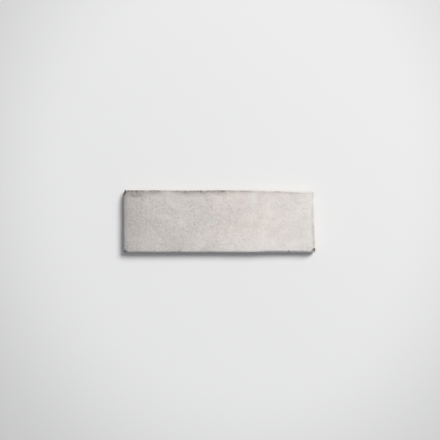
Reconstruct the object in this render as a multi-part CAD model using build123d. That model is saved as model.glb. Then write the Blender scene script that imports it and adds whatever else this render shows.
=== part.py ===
from build123d import *
import math
import os

# A glazed porcelain wall tile with the uneven look of a hand-cut one, pressed and fired as one piece.
# It lies on its keyed back with the glazed face up: X runs along its length, Y across it and Z up
# from the bedding plane. Left and right are -X and +X, near and far are -Y and +Y.

# Overall sizes, in millimetres, over the widest line of the sides.
length = 200.0
width = 65.0
thickness = 9.5  # bedding plane to the mean level of the face

# Side walls: they widen from the back up to the press line and narrow again above it.
press_line_depth = 4.0  # from the mean level of the face down to the line
draft_below = 3.0  # degrees
draft_above = 2.0  # degrees
back_bevel = 0.8
rim_radius = 1.3  # round over from the face to the sides

# Outline. Each corner is rounder than the rim by its own amount, so that the rim can run round it,
# and is set back from the corner of the full rectangle.
near_left_excess, near_left_setback = 0.5, (0.0, 0.0)
near_right_excess, near_right_setback = 0.1, (0.0, 0.0)
far_right_excess, far_right_setback = 0.5, (1.5, 1.3)
far_left_excess, far_left_setback = 0.3, (0.0, 0.0)

# How far each side wanders inwards, as (share of the way along, set-back) in the order that
# the outline runs: near side rightwards, right side farwards, far side leftwards, left side nearwards.
near_wander = [(0.16, 0.0), (0.41, 0.1), (0.60, 0.0), (0.82, 0.12)]
right_wander = [(0.15, 0.35), (0.35, 0.85), (0.62, 1.55)]
far_wander = [(0.08, 1.7), (0.17, 0.9), (0.26, 0.4), (0.37, 0.2), (0.55, 0.05), (0.68, 0.28), (0.82, 0.05)]
left_wander = [(0.30, 0.0), (0.62, 0.15)]

# Face relief: long shallow waves as (height, wavelength, heading in degrees, phase in degrees),
# a roll-off that lets the face sink towards its rim, and a deeper one at the left end.
face_waves = [(0.13, 92.0, 14.0, 40.0), (0.10, 57.0, -38.0, 150.0), (0.08, 41.0, 71.0, 265.0)]
roll_off_drop = 0.45
roll_off_width = 4.5
left_end_drop = 1.1
left_end_width = 2.8
face_grid = 3.5  # spacing of the points that the face is drawn through
face_margin = 7.0  # how far the face is drawn past the outline before it is trimmed

# Keyed back: a waffle of shallow pockets with drafted walls, between ribs that meet the bedding plane.
pocket_pitch = 19.0  # the pitch that the pattern comes nearest to
pocket_depth = 0.8
pocket_draft = 35.0  # degrees
pocket_corner = 2.4
rib_width = 2.2
back_land = 5.0  # plain border round the pattern

# Damage. A chip takes a corner off and a nick dents the far rim: each is a shell-shaped break.
far_left_chip_span, far_left_chip_reach, far_left_chip_inset = 8.6, 2.0, 2.5
near_right_chip_span, near_right_chip_reach, near_right_chip_inset = 8.4, 4.2, 0.3
near_left_chip_span, near_left_chip_reach, near_left_chip_inset = 5.6, 1.4, 0.6
first_nick_span, first_nick_reach, first_nick_from_left = 6.4, 0.8, 24.8
second_nick_span, second_nick_reach, second_nick_from_left = 9.0, 1.05, 84.2
chip_lift = 1.1  # height of a break's centre above the face


def side_points(start, end, inward, inset, wander):
    """Points of one side from the end of one corner's arc to the start of the next."""
    points = [start]
    for share, setback in wander:
        on_line = start + (end - start) * share
        off_line = setback + inset
        x = on_line.X if inward.X == 0 else side_limit(inward).X + inward.X * off_line
        y = on_line.Y if inward.Y == 0 else side_limit(inward).Y + inward.Y * off_line
        points.append(Vector(x, y))
    return points + [end]


def side_limit(inward):
    """The full rectangle's middle point on the side that faces away from inward."""
    return Vector(-inward.X * length / 2, -inward.Y * width / 2)


def outline(inset, z):
    """The tile's outline as a face at height z, drawn in all round by inset."""
    corners = [
        (-1, -1, near_left_excess, near_left_setback),
        (1, -1, near_right_excess, near_right_setback),
        (1, 1, far_right_excess, far_right_setback),
        (-1, 1, far_left_excess, far_left_setback),
    ]
    headings = [Vector(1, 0), Vector(0, 1), Vector(-1, 0), Vector(0, -1)]
    wanders = [near_wander, right_wander, far_wander, left_wander]
    tips = []
    for sign_x, sign_y, excess, setback in corners:
        x = sign_x * (length / 2 - setback[0] - inset)
        y = sign_y * (width / 2 - setback[1] - inset)
        tips.append((Vector(x, y), rim_radius + excess))
    edges = []
    for i, (heading, wander) in enumerate(zip(headings, wanders)):
        following = headings[(i + 1) % 4]
        tip, radius = tips[i]
        next_tip, next_radius = tips[(i + 1) % 4]
        start = tip + heading * radius
        end = next_tip - heading * next_radius
        points = side_points(start, end, following, inset, wander)
        edges.append(Spline(*points, tangents=(heading, heading)))
        middle = next_tip + (following - heading) * next_radius * (1 - math.sqrt(0.5))
        edges.append(ThreePointArc(end, middle, next_tip + following * next_radius))
    return Pos(0, 0, z) * make_face(edges)


def face_height(x, y):
    """Height of the glazed face over a point of the plan."""
    z = thickness
    for height, wavelength, heading, phase in face_waves:
        along = x * math.cos(math.radians(heading)) + y * math.sin(math.radians(heading))
        z += height * math.sin(2 * math.pi * along / wavelength + math.radians(phase))
    for place, size in ((x, length), (y, width)):
        z -= roll_off_drop * math.cosh(place / roll_off_width) / math.cosh(size / 2 / roll_off_width)
    return z - left_end_drop * math.exp(-(x + length / 2) / left_end_width)


def stations(size):
    """Evenly spaced places across a size and its margins."""
    reach = size / 2 + face_margin
    steps = math.ceil(2 * reach / face_grid)
    return [-reach + 2 * reach * i / steps for i in range(steps + 1)]


def blank():
    """The pressed blank: drafted side walls under the waved face, with a rounded rim."""
    top = thickness + rim_radius
    below = math.tan(math.radians(draft_below))
    above = math.tan(math.radians(draft_above))
    press_line_height = thickness - press_line_depth
    bevel_inset = (press_line_height - back_bevel) * below
    walls = loft(
        [
            outline(bevel_inset + back_bevel, 0),
            outline(bevel_inset, back_bevel),
            outline(0, press_line_height),
            outline((top - press_line_height) * above, top),
        ],
        ruled=True,
    )
    points = [[Vector(x, y, face_height(x, y)) for y in stations(width)] for x in stations(length)]
    face = Face.make_surface_from_array_of_points(points)
    under_face = extrude(face, amount=2 * thickness, dir=(0, 0, -1))
    body = walls & under_face
    rim = body.faces().sort_by(Axis.Z)[-1].outer_wire().edges()
    return fillet(rim, rim_radius)


def pocket_grid(size, multiple):
    """Number of the pockets along one way of the back, a multiple of some number, and their size."""
    room = size - 2 * back_land + rib_width
    count = multiple * max(1, round(room / pocket_pitch / multiple))
    return count, room / count - rib_width


def key_pockets():
    """The waffle of pockets pressed into the back, with a rib across the middle."""
    columns, pocket_length = pocket_grid(length, 2)
    rows, pocket_width = pocket_grid(width, 1)
    mouth = RectangleRounded(pocket_length, pocket_width, pocket_corner)
    pocket = extrude(mouth, amount=pocket_depth, taper=pocket_draft)
    places = GridLocations(pocket_length + rib_width, pocket_width + rib_width, columns, rows)
    return [place * pocket for place in places]


def shell_break(x, y, outward, span, reach):
    """A ball that breaks a piece of that span and reach out of the rim at a point of the outline."""
    radius = (span**2 / 4 + reach**2) / (2 * reach)
    centre = Vector(x, y) + outward.normalized() * (radius - reach)
    return Pos(centre.X, centre.Y, face_height(x, y) + chip_lift) * Sphere(radius)


def breaks():
    """Chips at three corners and two nicks in the far rim."""
    left, right, near, far = -length / 2, length / 2, -width / 2, width / 2
    return [
        shell_break(left, far - far_left_chip_inset, Vector(-1, 0.45), far_left_chip_span, far_left_chip_reach),
        shell_break(
            right - near_right_chip_inset,
            near + near_right_chip_inset,
            Vector(1, -1),
            near_right_chip_span,
            near_right_chip_reach,
        ),
        shell_break(
            left + near_left_chip_inset,
            near + near_left_chip_inset,
            Vector(-1, -1.5),
            near_left_chip_span,
            near_left_chip_reach,
        ),
        shell_break(left + first_nick_from_left, far, Vector(0, 1), first_nick_span, first_nick_reach),
        shell_break(left + second_nick_from_left, far, Vector(0, 1), second_nick_span, second_nick_reach),
    ]


def make_tile():
    """The whole tile, with the middle of its back at the origin."""
    tile = blank() - key_pockets() - breaks()
    box = tile.bounding_box()
    return Pos(-box.center().X, -box.center().Y, -box.min.Z) * tile


if __name__ == "__main__":
    os.makedirs("parts", exist_ok=True)
    export_step(make_tile(), "parts/tile.step")
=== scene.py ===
"""A glazed porcelain tile with an uneven, hand-cut look, lying face up in soft studio light."""

import math

import bmesh
import bpy
from bpy.props import FloatProperty, FloatVectorProperty, PointerProperty
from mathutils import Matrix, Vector, noise
from mathutils.kdtree import KDTree


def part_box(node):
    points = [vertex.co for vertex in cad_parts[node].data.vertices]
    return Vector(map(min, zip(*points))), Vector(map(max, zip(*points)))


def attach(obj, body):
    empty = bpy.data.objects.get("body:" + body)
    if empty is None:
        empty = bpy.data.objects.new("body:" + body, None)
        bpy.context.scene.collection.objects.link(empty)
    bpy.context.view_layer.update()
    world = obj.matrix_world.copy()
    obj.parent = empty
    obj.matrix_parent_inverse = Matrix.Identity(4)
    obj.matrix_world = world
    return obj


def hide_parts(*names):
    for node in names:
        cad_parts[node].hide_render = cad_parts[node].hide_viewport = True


bl_info = {
    "name": "Rustic porcelain tile",
    "version": (1, 0, 0),
    "blender": (4, 5, 0),
    "location": "View3D > Sidebar > Tile",
    "description": "Models a glazed porcelain tile and the studio that it is seen in",
    "category": "Object",
}

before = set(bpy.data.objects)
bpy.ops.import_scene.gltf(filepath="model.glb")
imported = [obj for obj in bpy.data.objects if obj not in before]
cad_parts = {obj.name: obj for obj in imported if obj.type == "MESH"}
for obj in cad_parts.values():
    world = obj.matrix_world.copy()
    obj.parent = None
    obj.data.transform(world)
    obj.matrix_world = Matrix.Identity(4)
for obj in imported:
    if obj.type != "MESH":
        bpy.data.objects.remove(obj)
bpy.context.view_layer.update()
tile_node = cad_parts["tile"]

MM = 0.001

# The tile's overall size, in millimetres, from the frame. Its back lies at height 0.
length, width, thickness = [(high - low) / MM for low, high in zip(*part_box("tile"))]

# Keyed back, in millimetres.
back_land = 5.0
rib_width = 2.2
pocket_columns, pocket_rows = 10, 3
pocket_depth = 0.8
pocket_draft = math.radians(35)

# Heights of the side walls' bevel, middle, press line and shoulder, in millimetres.
wall_heights = (0.8, 3.1, 5.5, 7.7)

# Room for error in telling by its place which side of the block a face is on, in millimetres.
slack = 0.1

# How close places are to be welded into one, and how thin a face is to be dropped, in millimetres.
weld_gap, sliver = 0.03, 0.02

# Height below which the skin is not smoothed, in millimetres, and how often it is smoothed above.
back_zone = 1.2
smoothing = 4

# Edges that turn further than this stay sharp in the shading.
crease = math.radians(40)

# Chips off the far left, near right and near left corners, as (centre, radius), in millimetres.
chips = (
    (Vector((-103.3, 31.5, 8.7)), 5.62),
    (Vector((99.7, -32.2, 9.8)), 4.2),
    (Vector((-100.56, -33.65, 9.05)), 3.5),
)

# How far round a chip the skin is made finer, in millimetres, how often it is relaxed across the chip
# before that, and how many sides the ball has that it is then laid on.
chip_margin = 1.2
chip_relaxing = 200
ball_segments, ball_rings = 96, 48

# Middles of the two nicks that were pressed into the far rim before glazing, in millimetres.
nicks = (Vector((-75.2, 32.0, 9.0)), Vector((-15.8, 32.0, 9.0)))

# Two short scores across the near rim, in millimetres.
scores = (Vector((-42.0, -31.8, 9.0)), Vector((72.0, -31.4, 9.0)))

# The near left corner, where the glaze is thin and painted shade darkens it, in millimetres.
near_left_corner = Vector((-99, -32, 8.5))

# Middle and half width of the patch that the glaze has run off, in millimetres.
patch, patch_size = Vector((-87.6, 27.6, 9)), 10.0

# How far the photograph's middle lies from the tile's, in metres.
aim = (0.0004, 0.0013)


def linear(colour):
    """An sRGB hex colour as linear red, green and blue."""
    channels = [int(colour[i : i + 2], 16) / 255 for i in (1, 3, 5)]
    return [c / 12.92 if c <= 0.04045 else ((c + 0.055) / 1.055) ** 2.4 for c in channels]


def ramp(value, low, high):
    """A smooth step from 0 at low to 1 at high."""
    share = min(max((value - low) / (high - low), 0.0), 1.0)
    return share * share * (3 - 2 * share)


def colour_property(name, colour, description):
    """A colour that a user can change, given as sRGB hex."""
    return FloatVectorProperty(
        name=name, description=description, subtype="COLOR", size=3, min=0, max=1, default=linear(colour)
    )


class TileSettings(bpy.types.PropertyGroup):
    """Sizes and colours of the tile."""

    cell: FloatProperty(
        name="Cell",
        description="Widest cell that the block is cut into before it is subdivided",
        default=2.3 * MM,
        min=1.5 * MM,
        unit="LENGTH",
    )
    ripple_depth: FloatProperty(
        name="Ripple depth",
        description="Depth of the soft hollows that pressing leaves in the face",
        default=0.3 * MM,
        unit="LENGTH",
    )
    grain_depth: FloatProperty(
        name="Grain depth",
        description="Depth of the sandy grain under the glaze",
        default=0.2 * MM,
        unit="LENGTH",
    )
    rim_wobble: FloatProperty(
        name="Rim wobble",
        description="How far the rim strays from a true line",
        default=0.35 * MM,
        unit="LENGTH",
    )
    rim_wear: FloatProperty(
        name="Rim wear",
        description="How far the near rim is worn down at its right end",
        default=1.0 * MM,
        unit="LENGTH",
    )
    fracture_depth: FloatProperty(
        name="Fracture depth",
        description="Roughness of the broken body in the chips",
        default=1.1 * MM,
        unit="LENGTH",
    )
    glaze_thickness: FloatProperty(
        name="Glaze thickness",
        description="How far the bare side walls lie behind the glaze",
        default=0.16 * MM,
        unit="LENGTH",
    )
    glaze_line: FloatProperty(
        name="Glaze line",
        description="Mean height at which the glaze ends on the side walls",
        default=4.0 * MM,
        unit="LENGTH",
    )
    # Paler glaze at the right and darker at the left: partly the glaze's own tone, partly painted sheen and
    # shade.
    glaze: colour_property("Glaze", "#E1DCD8", "Glaze where it lies thick")
    dim_glaze_and_painted_shade: colour_property("Shaded glaze", "#C0BBB7", "Glaze where it lies thinner, at the left")
    rose_cast: colour_property("Rose cast", "#FFFAF8", "Faint tint of parts of the face")
    # This cool tint is painted sheen and shade on the left and near rims.
    cool_sheen_and_shade_tint: colour_property("Pooled glaze", "#ECEEF6", "Milky, cool tint where the glaze has pooled")
    # This brown also paints shade over the left end and round the near left corner.
    glaze_break_and_shade: colour_property("Glaze break", "#776C66", "Iron brown that shows through at the rim")
    body: colour_property("Fired body", "#9A8D7D", "Bare porcelain body of the sides and back")
    # The left chips' darker body is painted shade, for chips that face away from the light.
    fracture: colour_property("Broken body", "#736D67", "Body in the left chips, which have taken in dirt")
    fresh_break: colour_property("Fresh break", "#A59E95", "Body in the right chip, which is still clean")


class StageSettings(bpy.types.PropertyGroup):
    """The camera's frame, the light and the floor."""

    frame_width: FloatProperty(
        name="Frame width",
        description="Width of the picture at the height of the tile's outline",
        default=0.460,
        unit="LENGTH",
    )
    lens: FloatProperty(
        name="Lens", description="Focal length of the camera", default=85.0, unit="CAMERA"
    )
    light_height: FloatProperty(
        name="Light height",
        description="Angle of the key light above the floor",
        default=math.radians(44),
        unit="ROTATION",
    )
    light_side: FloatProperty(
        name="Light side",
        description="Direction of the key light in plan, from +X towards +Y",
        default=math.radians(47.5),
        unit="ROTATION",
    )
    light_distance: FloatProperty(
        name="Light distance", description="From the tile to the key light", default=6.0, unit="LENGTH"
    )
    light_width: FloatProperty(
        name="Light width", description="Diameter of the key light", default=3.15, unit="LENGTH"
    )
    fill: FloatProperty(
        name="Fill",
        description="Share of the light on the floor that comes from all round",
        default=0.32,
        min=0,
        max=1,
        subtype="FACTOR",
    )
    floor: colour_property("Floor", "#EAEAEA", "Pale floor round the tile")
    # Painted falloff of the light towards the floor's edges.
    floor_edge: colour_property("Floor edge", "#CFCFCF", "Floor where the light falls off")
    key: colour_property("Key light", "#FFFEFB", "Slightly warm light of the softbox")
    sky: colour_property("Sky", "#F5F8FF", "Cool light from all round")


# Shape


def apply_modifier(piece, kind, **settings):
    """Adds a modifier with its settings and applies it."""
    modifier = piece.modifiers.new(kind.title(), kind)
    for name, value in settings.items():
        setattr(modifier, name, value)
    bpy.ops.object.modifier_apply(modifier=modifier.name)


def select_faces(piece, wanted):
    """Selects the faces whose middle wanted holds for, in edit mode."""
    bpy.ops.mesh.select_mode(type="FACE")
    bpy.ops.mesh.select_all(action="DESELECT")
    mesh = bmesh.from_edit_mesh(piece.data)
    for face in mesh.faces:
        if wanted(face.calc_center_median() / MM):
            face.select_set(True)
    bmesh.update_edit_mesh(piece.data)


def pocket_spans(size, count):
    """Lowest and highest place of each pocket along one way of the back."""
    room = size - 2 * back_land + rib_width
    pitch = room / count
    starts = [pitch * i + back_land - size / 2 for i in range(count)]
    return [(start, start + pitch - rib_width) for start in starts]


def cuts_along(size, count, cell):
    """Places to cut the block at: the pockets' edges, and so many between that no cell is too wide."""
    edges = [edge for span in pocket_spans(size, count) for edge in span]
    cuts = []
    for low, high in zip([-size / 2] + edges, edges + [size / 2]):
        strips = math.ceil((high - low) / cell)
        cuts += [low + (high - low) * i / strips for i in range(strips)]
    return cuts[1:]


def cut_block(settings):
    """The tile's block, cut into cells whose lines follow the ribs of the back."""
    bpy.ops.object.select_all(action="DESELECT")
    bpy.ops.mesh.primitive_cube_add(
        size=1,
        location=(0, 0, thickness / 2 * MM),
        scale=(length * MM, width * MM, thickness * MM),
    )
    piece = bpy.context.object
    bpy.ops.object.transform_apply(location=True, rotation=True, scale=True)
    bpy.ops.object.mode_set(mode="EDIT")
    cell = settings.cell / MM
    planes = [(Vector((1, 0, 0)), cut) for cut in cuts_along(length, pocket_columns, cell)]
    planes += [(Vector((0, 1, 0)), cut) for cut in cuts_along(width, pocket_rows, cell)]
    planes += [(Vector((0, 0, 1)), cut) for cut in wall_heights]
    for normal, cut in planes:
        bpy.ops.mesh.select_all(action="SELECT")
        bpy.ops.mesh.bisect(plane_co=normal * cut * MM, plane_no=normal)
    return piece


def press_back(piece):
    """Presses the waffle of drafted pockets into the back."""
    columns = pocket_spans(length, pocket_columns)
    rows = pocket_spans(width, pocket_rows)

    def in_pocket(place):
        across = any(low < place.x < high for low, high in columns)
        return place.z < 0.01 and across and any(low < place.y < high for low, high in rows)

    select_faces(piece, in_pocket)
    bpy.ops.mesh.inset(thickness=pocket_depth * math.tan(pocket_draft) * MM, depth=-pocket_depth * MM)


def refine(piece):
    """Subdivides the whole skin once, and the face and sides once more."""
    bpy.ops.mesh.select_all(action="SELECT")
    bpy.ops.mesh.subdivide(number_cuts=1)
    select_faces(
        piece,
        lambda place: place.z > pocket_depth + slack
        or abs(place.x) > length / 2 - slack
        or abs(place.y) > width / 2 - slack,
    )
    bpy.ops.mesh.subdivide(number_cuts=1)
    bpy.ops.object.mode_set(mode="OBJECT")


def seat(piece):
    """Seats the skin on the frame's tile, all but the places inside the chips' balls."""
    weigh(piece, "whole", lambda place, normal: 1.0 if hollow_distance(place) > 0 else 0.0)
    apply_modifier(
        piece, "SHRINKWRAP", target=tile_node, wrap_method="NEAREST_SURFACEPOINT", vertex_group="whole"
    )
    piece.vertex_groups.remove(piece.vertex_groups["whole"])


def break_corners(piece):
    """Draws the skin in at each chip, refines it there and lays it on the ball that broke the chip out."""
    weigh(piece, "broken off", lambda place, normal: 1.0 if hollow_distance(place) <= 0 else 0.0)
    apply_modifier(piece, "SMOOTH", factor=0.8, iterations=chip_relaxing, vertex_group="broken off")
    bpy.ops.object.mode_set(mode="EDIT")
    select_faces(piece, lambda place: hollow_distance(place) < chip_margin)
    bpy.ops.mesh.subdivide(number_cuts=2)
    bpy.ops.object.mode_set(mode="OBJECT")
    seat(piece)
    for centre, radius in chips:
        bpy.ops.object.select_all(action="DESELECT")
        bpy.ops.mesh.primitive_uv_sphere_add(
            segments=ball_segments, ring_count=ball_rings, radius=radius * MM, location=centre * MM
        )
        ball = bpy.context.object
        bpy.context.view_layer.objects.active = piece
        weigh(piece, "hollow", lambda place, normal: 1.0 if (place - centre).length < radius else 0.0)
        apply_modifier(
            piece, "SHRINKWRAP", target=ball, wrap_method="NEAREST_SURFACEPOINT", vertex_group="hollow"
        )
        piece.vertex_groups.remove(piece.vertex_groups["hollow"])
        bpy.data.objects.remove(ball)


def weld(piece):
    """Welds the places that seating has drawn onto one another, and drops the faces between them."""
    bpy.ops.object.mode_set(mode="EDIT")
    bpy.ops.mesh.select_all(action="SELECT")
    bpy.ops.mesh.remove_doubles(threshold=weld_gap * MM)
    bpy.ops.mesh.dissolve_degenerate(threshold=sliver * MM)
    bpy.ops.object.mode_set(mode="OBJECT")


def weigh(piece, name, weight):
    """A vertex group that holds weight(place, normal) of each point."""
    group = piece.vertex_groups.new(name=name)
    for vertex in piece.data.vertices:
        value = weight(vertex.co / MM, vertex.normal)
        if value > 0:
            group.add([vertex.index], value, "REPLACE")


def paint(piece, name, values):
    """Stores a value for each point as an attribute for the material."""
    layer = piece.data.attributes.new(name, "FLOAT", "POINT")
    layer.data.foreach_set("value", values)


def rim_distances(piece):
    """Distance of each point from the middle of the rounded rim, in millimetres.

    That is where the skin leans between facing up and facing out.
    """
    rim = [v.co / MM for v in piece.data.vertices if 0.35 < v.normal.z < 0.85 and v.co.z > 6 * MM]
    tree = KDTree(len(rim))
    for index, place in enumerate(rim):
        tree.insert(place, index)
    tree.balance()
    return [tree.find(vertex.co / MM)[2] for vertex in piece.data.vertices]


# The functions from here to wear say how much of something there is at a place of the skin. Places,
# heights and widths in them are in millimetres, and amounts are shares from 0 to 1.


def hollow_distance(place):
    """How far a place lies outside the nearest chip's ball, in millimetres."""
    return min((place - centre).length - radius for centre, radius in chips)


def chip_distance(place):
    """How far a place lies outside the nearest chip's ragged break, in millimetres."""
    return max(max(hollow_distance(place), 0.0) + 0.3 * noise.noise(place / 0.9), 0.0)


def roughness(place):
    """How rough the break is at a place, from 1 in a chip to 0 a little outside it."""
    apart = chip_distance(place)
    return 1 - 0.5 * ramp(apart, 0.0, 0.3) - 0.5 * ramp(apart, 0.3, 0.8)


def glaze_cover(place, line):
    """How well the glaze covers a place of the side walls, from 0 to 1, with drips below its line."""
    drips = 1.6 * noise.noise(Vector((place.x, place.y, 0)) / 17) + 0.5 * noise.noise(place / 3.1)
    return ramp(place.z - line - drips, -0.5, 0.5)


def run_off(place):
    """How much glaze has run off the patch: a soft smear, with short strokes from it to the far rim."""
    across = (place - patch) / patch_size
    smear = 1 - ramp(math.hypot(across.x, across.y * 2.8), 0.4, 1.1)
    smear *= 0.55 + 0.5 * noise.noise(Vector((place.x / 2.6, place.y / 1.5, 0)))
    strokes = ramp(noise.noise(Vector((place.x / 1.4, place.y / 9, 3))), 0.0, 0.35)
    strokes *= ramp(place.y, 28.0, 30.0) * ramp(place.z, 6.5, 8.0) * (1 - ramp(abs(across.x), 0.6, 0.9))
    return max(smear, 0.7 * strokes)


def thinness(place, normal, rim):
    """How thin the glaze has run at a place, from 0 to 1.

    It breaks along the crest of the rim, most on the far side and the right end. Round the near left
    corner its brown is partly thin glaze and partly painted shade, darkest where the rim faces out. It
    is gone from the patch by the far left corner. Over the left end a faint brown is painted shade.
    """
    far = ramp(place.y, 20, 30) * (1 - 0.6 * ramp(place.x, 10, 60))
    right = ramp(place.x, 92, 96) * ramp(place.y, -30, -26) * (1 - ramp(place.y, -10, 20))
    glazed_over = min(ramp((place - nick).length, 1.5, 4.5) for nick in nicks)
    score = max(1 - ramp(math.hypot((place.x - at.x) * 1.6, place.y - at.y), 0.8, 2.4) for at in scores)
    score *= ramp(place.z, 6.5, 7.8)
    crest = 0.4 + 0.6 * ramp(normal.z, 0.4, 0.9)
    strength = 0.06 + 0.24 * noise.noise(place / 16) + 0.24 * far - 0.5 * ramp(-place.x, 95, 99)
    reach = 2.4 + 1.2 * noise.noise(place / 5)
    line = max(strength, 0.0) * crest * glazed_over * (1 - ramp(rim, 0.35 * reach, reach))
    # Round the near left corner: partly thin glaze, partly painted shade where the rim faces out.
    corner = (1 - ramp((place - near_left_corner).length, 1.5, 4.5)) * (1 - 0.5 * ramp(normal.z, 0.85, 0.98))

    band = 0.34 * far * (1 - ramp(rim, 0.0, 9.0)) * (1 + noise.noise(place / 12))
    band += 0.2 * right * (1 - ramp(rim, 1.0, 4.0)) * (1 + noise.noise(place / 4))
    # Painted shade: a faint brown over the left end, left out where the painted cool sheen lies.
    end = 0.09 * (1 - ramp(place.x, -88, -66)) + 0.05 * (1 - ramp(place.x, -98, -94))
    end *= 1 - pooling(place)
    return min(line + max(band + end, run_off(place), 0.5 * score, 0.95 * corner), 1.0)


def pooling(place):
    """How much painted cool sheen and shade a place gets, from 0 to 1, along the near and left rims."""
    left = (1 - ramp(place.x, -96.3, -95.3)) * (0.2 + 2.0 * (1 - ramp(place.y, -20, -15)))
    near = (1 - ramp(place.y, -31.5, -29.0)) * ramp(place.x, 30, 50)
    return min(max(left, near) * ramp(place.z, 5.5, 7.0) * (1 + noise.noise(place / 9)) / 1.4, 1.0)


def wear(place):
    """How far the near rim is worn down at a place, from 0 to 1."""
    along = ramp(place.x, 36, 50) * (1 - ramp(place.x, 86, 96))
    across = 1 - ramp(place.y + width / 2, 0.0, 2.2)
    return (0.15 + 0.85 * along) * across * ramp(place.z, 5.5, 8.0)


def add_relief(piece, name, size, depth, group, detail=1):
    """Presses a clouded relief of that feature size into a group of the skin."""
    texture = bpy.data.textures.new(name, "CLOUDS")
    texture.noise_scale = size * MM
    texture.noise_depth = detail
    apply_modifier(
        piece, "DISPLACE", texture=texture, strength=depth, vertex_group=group, texture_coords="LOCAL"
    )


def model_tile(settings):
    """The tile as one closed skin, seated on the frame, with its fine relief."""
    piece = cut_block(settings)
    piece.name = "tile_skin"
    press_back(piece)
    refine(piece)
    seat(piece)
    break_corners(piece)
    weld(piece)
    weigh(piece, "outside", lambda place, normal: 1.0 if place.z > back_zone else 0.0)
    apply_modifier(piece, "SMOOTH", factor=0.5, iterations=smoothing, vertex_group="outside")

    rims = rim_distances(piece)
    line = settings.glaze_line / MM
    points = [(v.co / MM, v.normal.copy(), rim) for v, rim in zip(piece.data.vertices, rims)]
    paint(piece, "glaze", [glaze_cover(place, line) for place, normal, rim in points])
    paint(piece, "thinness", [thinness(*point) for point in points])
    paint(piece, "pooling", [pooling(place) for place, normal, rim in points])
    paint(piece, "chip_distance", [chip_distance(place) for place, normal, rim in points])

    weigh(piece, "face", lambda place, normal: ramp(place.z, 6.5, 8.0) * (1 - 0.5 * ramp(place.x, -90, 30)))
    weigh(piece, "rim", lambda place, normal: ramp(place.z, 5.5, 7.5) * (1 - ramp(normal.z, 0.8, 0.97)))
    weigh(piece, "sides", lambda place, normal: ramp(place.z, 1.0, 2.0) * (1 - ramp(abs(normal.z), 0.2, 0.6)))
    weigh(piece, "worn", lambda place, normal: wear(place))
    weigh(piece, "broken", lambda place, normal: roughness(place))
    weigh(piece, "bare", lambda place, normal: (1 - glaze_cover(place, line)) * ramp(place.z, 0.8, 1.2))
    apply_modifier(
        piece, "DISPLACE", direction="Z", strength=-settings.rim_wear, mid_level=0, vertex_group="worn"
    )
    add_relief(piece, "pressing", 7.0, settings.ripple_depth, "face")
    add_relief(piece, "sand", 2.3, settings.grain_depth, "face")
    add_relief(piece, "wobble", 4.5, settings.rim_wobble, "rim")
    add_relief(piece, "drag", 2.4, settings.grain_depth, "sides")
    add_relief(piece, "fracture", 1.5, settings.fracture_depth, "broken", detail=3)
    apply_modifier(piece, "DISPLACE", strength=-settings.glaze_thickness, mid_level=0, vertex_group="bare")
    bpy.ops.object.shade_smooth_by_angle(angle=crease)
    return piece


# Finish


def node(tree, kind, settings=None, **inputs):
    """Adds a node with its settings. An input is a value, or a node or socket to link from.

    A pair given for Value or Shader goes to the two inputs of that name.
    """
    made = tree.nodes.new(kind)
    for name, value in (settings or {}).items():
        setattr(made, name, value)
    for name, value in inputs.items():
        wanted = name.replace("_", " ")
        pair = wanted in ("Value", "Shader") and isinstance(value, tuple)
        for part in value if pair else (value,):
            socket = next(s for s in made.inputs if s.enabled and s.name == wanted and not s.is_linked)
            if isinstance(part, bpy.types.Node):
                part = next(s for s in part.outputs if s.enabled)
            if isinstance(part, bpy.types.NodeSocket):
                tree.links.new(part, socket)
            else:
                socket.default_value = [*part, 1] if socket.type == "RGBA" else part
    return made


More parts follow.
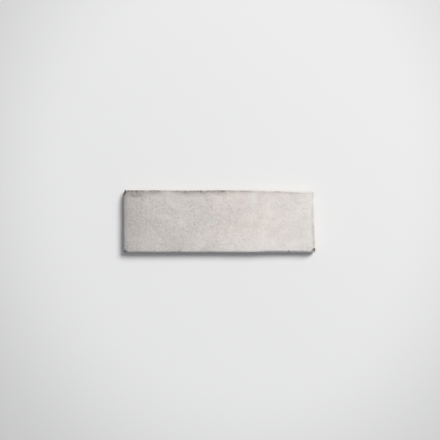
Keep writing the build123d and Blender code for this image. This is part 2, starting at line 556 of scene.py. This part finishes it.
def glazed_porcelain(settings):
    """Satin glaze, brushed and fired on a pressed porcelain body.

    The glaze gives the eye a soft sheen over a sandy, clouded greige, with pinholes where gas broke
    through. It runs thin at the rim, where iron in the body turns it brown, and ends in a wavy line
    on the side walls. Below that line, on the back and in the chips, the body is matt and granular.
    Some colour is painted light. The greige's left-to-right rise is partly painted sheen and shade.
    The brown over the left end is painted shade, and the brown round the near left corner is partly
    painted shade. A cool tint on the left and near rims is painted sheen and shade. The left chips'
    darker body is painted shade.
    """
    material = bpy.data.materials.new("satin_glazed_porcelain")
    material.use_nodes = True
    tree = material.node_tree
    tree.nodes.clear()
    place = node(tree, "ShaderNodeTexCoord").outputs["Object"]
    axes = node(tree, "ShaderNodeSeparateXYZ", Vector=place)
    along, across = axes.outputs["X"], axes.outputs["Y"]
    smooth = {"interpolation_type": "SMOOTHSTEP"}
    blend = {"data_type": "RGBA"}
    multiply = {"data_type": "RGBA", "blend_type": "MULTIPLY", "clamp_result": True}
    product = {"operation": "MULTIPLY"}
    # Nearly all of a noise lies in this range.
    spread = {"From_Min": 0.3, "From_Max": 0.7}

    # Clouds 40 mm, 24 mm, 15 mm, 7 mm and 2.3 mm across, and a fine grit of 0.9 mm.
    drift, cast, bank, cloud, grain, grit = [
        node(tree, "ShaderNodeTexNoise", Vector=place, Scale=1 / (size * MM), Detail=detail)
        for size, detail in ((40, 1), (24, 1), (15, 1), (7, 2), (2.3, 2), (0.9, 1))
    ]

    # The glaze is paler and warmer to the right. This is partly its own tone, and partly painted sheen of the
    # key light to the right and painted shade at the left.
    shift = node(tree, "ShaderNodeMapRange", Value=drift, **spread, To_Min=-0.012, To_Max=0.012)
    leaning = node(tree, "ShaderNodeMath", {"operation": "ADD"}, Value=(along, shift))
    tone = node(tree, "ShaderNodeMapRange", Value=leaning, From_Min=-0.10, From_Max=0.06)
    glaze = node(
        tree, "ShaderNodeMix", blend, Factor=tone, A=settings.dim_glaze_and_painted_shade, B=settings.glaze
    )

    # Faint rose clouds to the right of the middle, away from the near side.
    rose = node(tree, "ShaderNodeMapRange", smooth, Value=cast, From_Min=0.36, From_Max=0.58)
    rise = node(tree, "ShaderNodeMapRange", smooth, Value=along, From_Min=-0.03, From_Max=0.01)
    fall = node(
        tree,
        "ShaderNodeMapRange",
        smooth,
        Value=along,
        From_Min=0.05,
        From_Max=0.09,
        To_Min=1,
        To_Max=0,
    )
    upper = node(tree, "ShaderNodeMapRange", smooth, Value=across, From_Min=-0.024, From_Max=-0.008)
    for part in (rise, fall, upper):
        rose = node(tree, "ShaderNodeMath", product, Value=(rose, part))
    glaze = node(tree, "ShaderNodeMix", multiply, Factor=rose, A=glaze, B=settings.rose_cast)

    # Light and dark clouds, and sand that shows most at the left and where the glaze is not thick.
    shade = node(tree, "ShaderNodeMapRange", Value=bank, **spread, To_Min=0.965, To_Max=1.035)
    mottle = node(tree, "ShaderNodeMapRange", Value=cloud, **spread, To_Min=0.96, To_Max=1.04)
    speckle = node(tree, "ShaderNodeMapRange", Value=grain, **spread, To_Min=0.82, To_Max=1.17)
    glaze = node(tree, "ShaderNodeMix", multiply, Factor=1.0, A=glaze, B=shade)
    glaze = node(tree, "ShaderNodeMix", multiply, Factor=1.0, A=glaze, B=mottle)
    sandy = node(tree, "ShaderNodeMapRange", Value=tone, To_Min=1.0, To_Max=0.45)
    thick = node(
        tree, "ShaderNodeMapRange", Value=cloud, From_Min=0.35, From_Max=0.65, To_Min=1.0, To_Max=0.45
    )
    sandy = node(tree, "ShaderNodeMath", product, Value=(sandy, thick))
    glaze = node(tree, "ShaderNodeMix", multiply, Factor=sandy, A=glaze, B=speckle)

    # Painted cool sheen and shade along the left and near rims.
    pooled = node(tree, "ShaderNodeAttribute", {"attribute_name": "pooling"}).outputs["Fac"]
    glaze = node(tree, "ShaderNodeMix", multiply, Factor=pooled, A=glaze, B=settings.cool_sheen_and_shade_tint)

    # Iron break where the glaze is thin, with painted shade in the same brown over the left end and
    # round the near left corner.
    thin = node(tree, "ShaderNodeAttribute", {"attribute_name": "thinness"}).outputs["Fac"]
    fray = node(
        tree, "ShaderNodeMapRange", Value=grain, From_Min=0.35, From_Max=0.65, To_Min=0.65, To_Max=1.35
    )
    iron = node(tree, "ShaderNodeMath", {**product, "use_clamp": True}, Value=(thin, fray))
    glaze = node(tree, "ShaderNodeMix", blend, Factor=iron, A=glaze, B=settings.glaze_break_and_shade)

    # Faint pinholes about 1 mm wide, in some of the cells 12 mm apart.
    flat = {"voronoi_dimensions": "2D"}
    cells = node(tree, "ShaderNodeTexVoronoi", flat, Vector=place, Scale=1 / (12 * MM))
    hole = node(
        tree,
        "ShaderNodeMapRange",
        smooth,
        Value=cells.outputs["Distance"],
        From_Min=0.01,
        From_Max=0.06,
    )
    pick = node(
        tree, "ShaderNodeMath", {"operation": "GREATER_THAN"}, Value=(cells.outputs["Color"], 0.4)
    )
    pinhole = node(tree, "ShaderNodeMath", {"operation": "MAXIMUM"}, Value=(hole, pick))
    faint = node(tree, "ShaderNodeMapRange", Value=pinhole, To_Min=0.55)
    glaze = node(tree, "ShaderNodeMix", blend, Factor=faint, A=settings.glaze_break_and_shade, B=glaze)

    # Bare body below the glaze line, and broken body in the chips, darker in the left chips as painted
    # shade.
    tooth = node(tree, "ShaderNodeMapRange", Value=grit, **spread, To_Min=0.84, To_Max=1.08)
    bare = node(tree, "ShaderNodeMix", multiply, Factor=1.0, A=settings.body, B=tooth)
    bare = node(tree, "ShaderNodeMix", multiply, Factor=1.0, A=bare, B=mottle)
    shard = node(
        tree, "ShaderNodeMix", blend, Factor=tone, A=settings.fracture, B=settings.fresh_break
    )
    shard = node(tree, "ShaderNodeMix", multiply, Factor=1.0, A=shard, B=tooth)
    shard = node(tree, "ShaderNodeMix", multiply, Factor=1.0, A=shard, B=speckle)
    cover = node(tree, "ShaderNodeAttribute", {"attribute_name": "glaze"}).outputs["Fac"]
    glazed = node(tree, "ShaderNodeMapRange", smooth, Value=cover, From_Min=0.35, From_Max=0.65)
    apart = node(tree, "ShaderNodeAttribute", {"attribute_name": "chip_distance"}).outputs["Fac"]
    whole = node(tree, "ShaderNodeMapRange", smooth, Value=apart, From_Min=0.2, From_Max=0.32)
    colour = node(tree, "ShaderNodeMix", blend, Factor=glazed, A=bare, B=glaze)
    colour = node(tree, "ShaderNodeMix", blend, Factor=whole, A=shard, B=colour)

    # Satin where there is glaze and matt where there is none, with grain, grit and pinholes in relief.
    cover = node(tree, "ShaderNodeMath", product, Value=(glazed, whole))
    satin = node(tree, "ShaderNodeMapRange", Value=cover, To_Min=0.85, To_Max=0.38)
    relief = node(tree, "ShaderNodeBump", Strength=1.0, Distance=0.05 * MM, Height=grain)
    bite = node(tree, "ShaderNodeMapRange", Value=cover, To_Min=0.12 * MM, To_Max=0.03 * MM)
    relief = node(tree, "ShaderNodeBump", Strength=1.0, Distance=bite, Height=grit, Normal=relief)
    relief = node(tree, "ShaderNodeBump", Strength=1.0, Distance=0.15 * MM, Height=pinhole, Normal=relief)
    shader = node(
        tree, "ShaderNodeBsdfPrincipled", Base_Color=colour, Roughness=satin, IOR=1.5, Normal=relief
    )
    node(tree, "ShaderNodeOutputMaterial", Surface=shader)
    return material


class TILE_OT_make_tile(bpy.types.Operator):
    """Model the porcelain tile and give it its glaze"""

    bl_idname = "tile.make_tile"
    bl_label = "Make tile"
    bl_options = {"REGISTER", "UNDO"}

    def execute(self, context):
        settings = context.scene.porcelain_tile
        piece = model_tile(settings)
        piece.data.materials.append(glazed_porcelain(settings))
        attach(piece, "root")
        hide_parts("tile")
        return {"FINISHED"}


# Stage


def floor_material(settings):
    """Smooth matt paper that gives the eye an even pale ground, darker where the light falls off."""
    material = bpy.data.materials.new("matt_paper")
    material.use_nodes = True
    tree = material.node_tree
    tree.nodes.clear()
    place = node(tree, "ShaderNodeTexCoord").outputs["Object"]
    # The ground is even in an oval 0.34 m wide and 0.41 m deep, a little beyond the tile's middle,
    # and darkest outside one about twice that: a painted falloff of the light.
    oval = node(
        tree,
        "ShaderNodeMapping",
        {"vector_type": "TEXTURE"},
        Vector=place,
        Location=(0.02, 0.04, 0),
        Scale=(0.38, 0.456, 1),
    )
    away = node(tree, "ShaderNodeVectorMath", {"operation": "LENGTH"}, Vector=oval)
    fall = node(
        tree,
        "ShaderNodeMapRange",
        {"interpolation_type": "SMOOTHSTEP"},
        Value=away,
        From_Min=0.45,
        From_Max=0.95,
    )
    colour = node(
        tree,
        "ShaderNodeMix",
        {"data_type": "RGBA"},
        Factor=fall,
        A=settings.floor,
        B=settings.floor_edge,
    )
    shader = node(tree, "ShaderNodeBsdfPrincipled", Base_Color=colour, Roughness=0.9, IOR=1.4)
    node(tree, "ShaderNodeOutputMaterial", Surface=shader)
    return material


def studio_world(settings):
    """Even cool light from all round, seen by the camera as a pale backdrop."""
    world = bpy.data.worlds.new("studio")
    world.use_nodes = True
    tree = world.node_tree
    tree.nodes.clear()
    light = node(tree, "ShaderNodeBackground", Color=settings.sky, Strength=settings.fill)
    backdrop = node(tree, "ShaderNodeBackground", Color=settings.floor, Strength=1.0)
    to_camera = node(tree, "ShaderNodeLightPath").outputs["Is Camera Ray"]
    seen = node(tree, "ShaderNodeMixShader", Fac=to_camera, Shader=(light, backdrop))
    node(tree, "ShaderNodeOutputWorld", Surface=seen)
    bpy.context.scene.world = world


def key_light(settings):
    """A large round softbox at the far right."""
    height, side, distance = settings.light_height, settings.light_side, settings.light_distance
    towards = Vector(
        (math.cos(height) * math.cos(side), math.cos(height) * math.sin(side), math.sin(height))
    )
    bpy.ops.object.light_add(
        type="AREA", location=towards * distance, rotation=towards.to_track_quat("Z", "Y").to_euler()
    )
    light = bpy.context.object
    light.name = "softbox"
    light.data.shape = "DISK"
    light.data.size = settings.light_width
    light.data.color = settings.key
    # A white floor under the softbox and the sky together then shows as just white.
    reach = distance**2 + (settings.light_width / 2) ** 2
    light.data.energy = (1 - settings.fill) * math.pi**2 * reach / math.sin(height)


def overhead_camera(settings):
    """A camera that looks straight down, with the picture's top towards the far side."""
    data = bpy.data.cameras.new("overhead")
    data.lens = settings.lens
    data.sensor_width = 36
    data.clip_end = 50
    half = math.atan(data.sensor_width / 2 / data.lens)
    # The tile is widest, and so has its outline, at the press line.
    press_line = wall_heights[2] * MM
    height = settings.frame_width / 2 / math.tan(half) + press_line
    camera = bpy.data.objects.new("overhead", data)
    camera.location = (*aim, height)
    bpy.context.scene.collection.objects.link(camera)
    bpy.context.scene.camera = camera


class TILE_OT_make_stage(bpy.types.Operator):
    """Lay the pale floor and set up the light and the camera"""

    bl_idname = "tile.make_stage"
    bl_label = "Make stage"
    bl_options = {"REGISTER", "UNDO"}

    def execute(self, context):
        settings = context.scene.tile_stage
        bpy.ops.object.select_all(action="DESELECT")
        bpy.ops.mesh.primitive_plane_add(size=8)
        floor = context.object
        floor.name = "floor"
        floor.data.materials.append(floor_material(settings))
        key_light(settings)
        studio_world(settings)
        overhead_camera(settings)
        context.scene.view_settings.view_transform = "Standard"
        return {"FINISHED"}


class TILE_PT_sidebar(bpy.types.Panel):
    """Lists the tile's settings and the operators that make it"""

    bl_label = "Porcelain tile"
    bl_idname = "TILE_PT_sidebar"
    bl_space_type = "VIEW_3D"
    bl_region_type = "UI"
    bl_category = "Tile"

    def draw(self, context):
        for settings in (context.scene.porcelain_tile, context.scene.tile_stage):
            column = self.layout.column()
            for name in settings.__annotations__:
                column.prop(settings, name)
        self.layout.operator(TILE_OT_make_tile.bl_idname)
        self.layout.operator(TILE_OT_make_stage.bl_idname)


classes = (TileSettings, StageSettings, TILE_OT_make_tile, TILE_OT_make_stage, TILE_PT_sidebar)


def register():
    """Adds the classes and their settings to Blender."""
    for item in classes:
        bpy.utils.register_class(item)
    bpy.types.Scene.porcelain_tile = PointerProperty(type=TileSettings)
    bpy.types.Scene.tile_stage = PointerProperty(type=StageSettings)


def unregister():
    """Takes the settings and the classes out again."""
    del bpy.types.Scene.tile_stage
    del bpy.types.Scene.porcelain_tile
    for item in reversed(classes):
        bpy.utils.unregister_class(item)


def main():
    register()
    bpy.ops.tile.make_tile()
    bpy.ops.tile.make_stage()


if __name__ == "__main__":
    main()
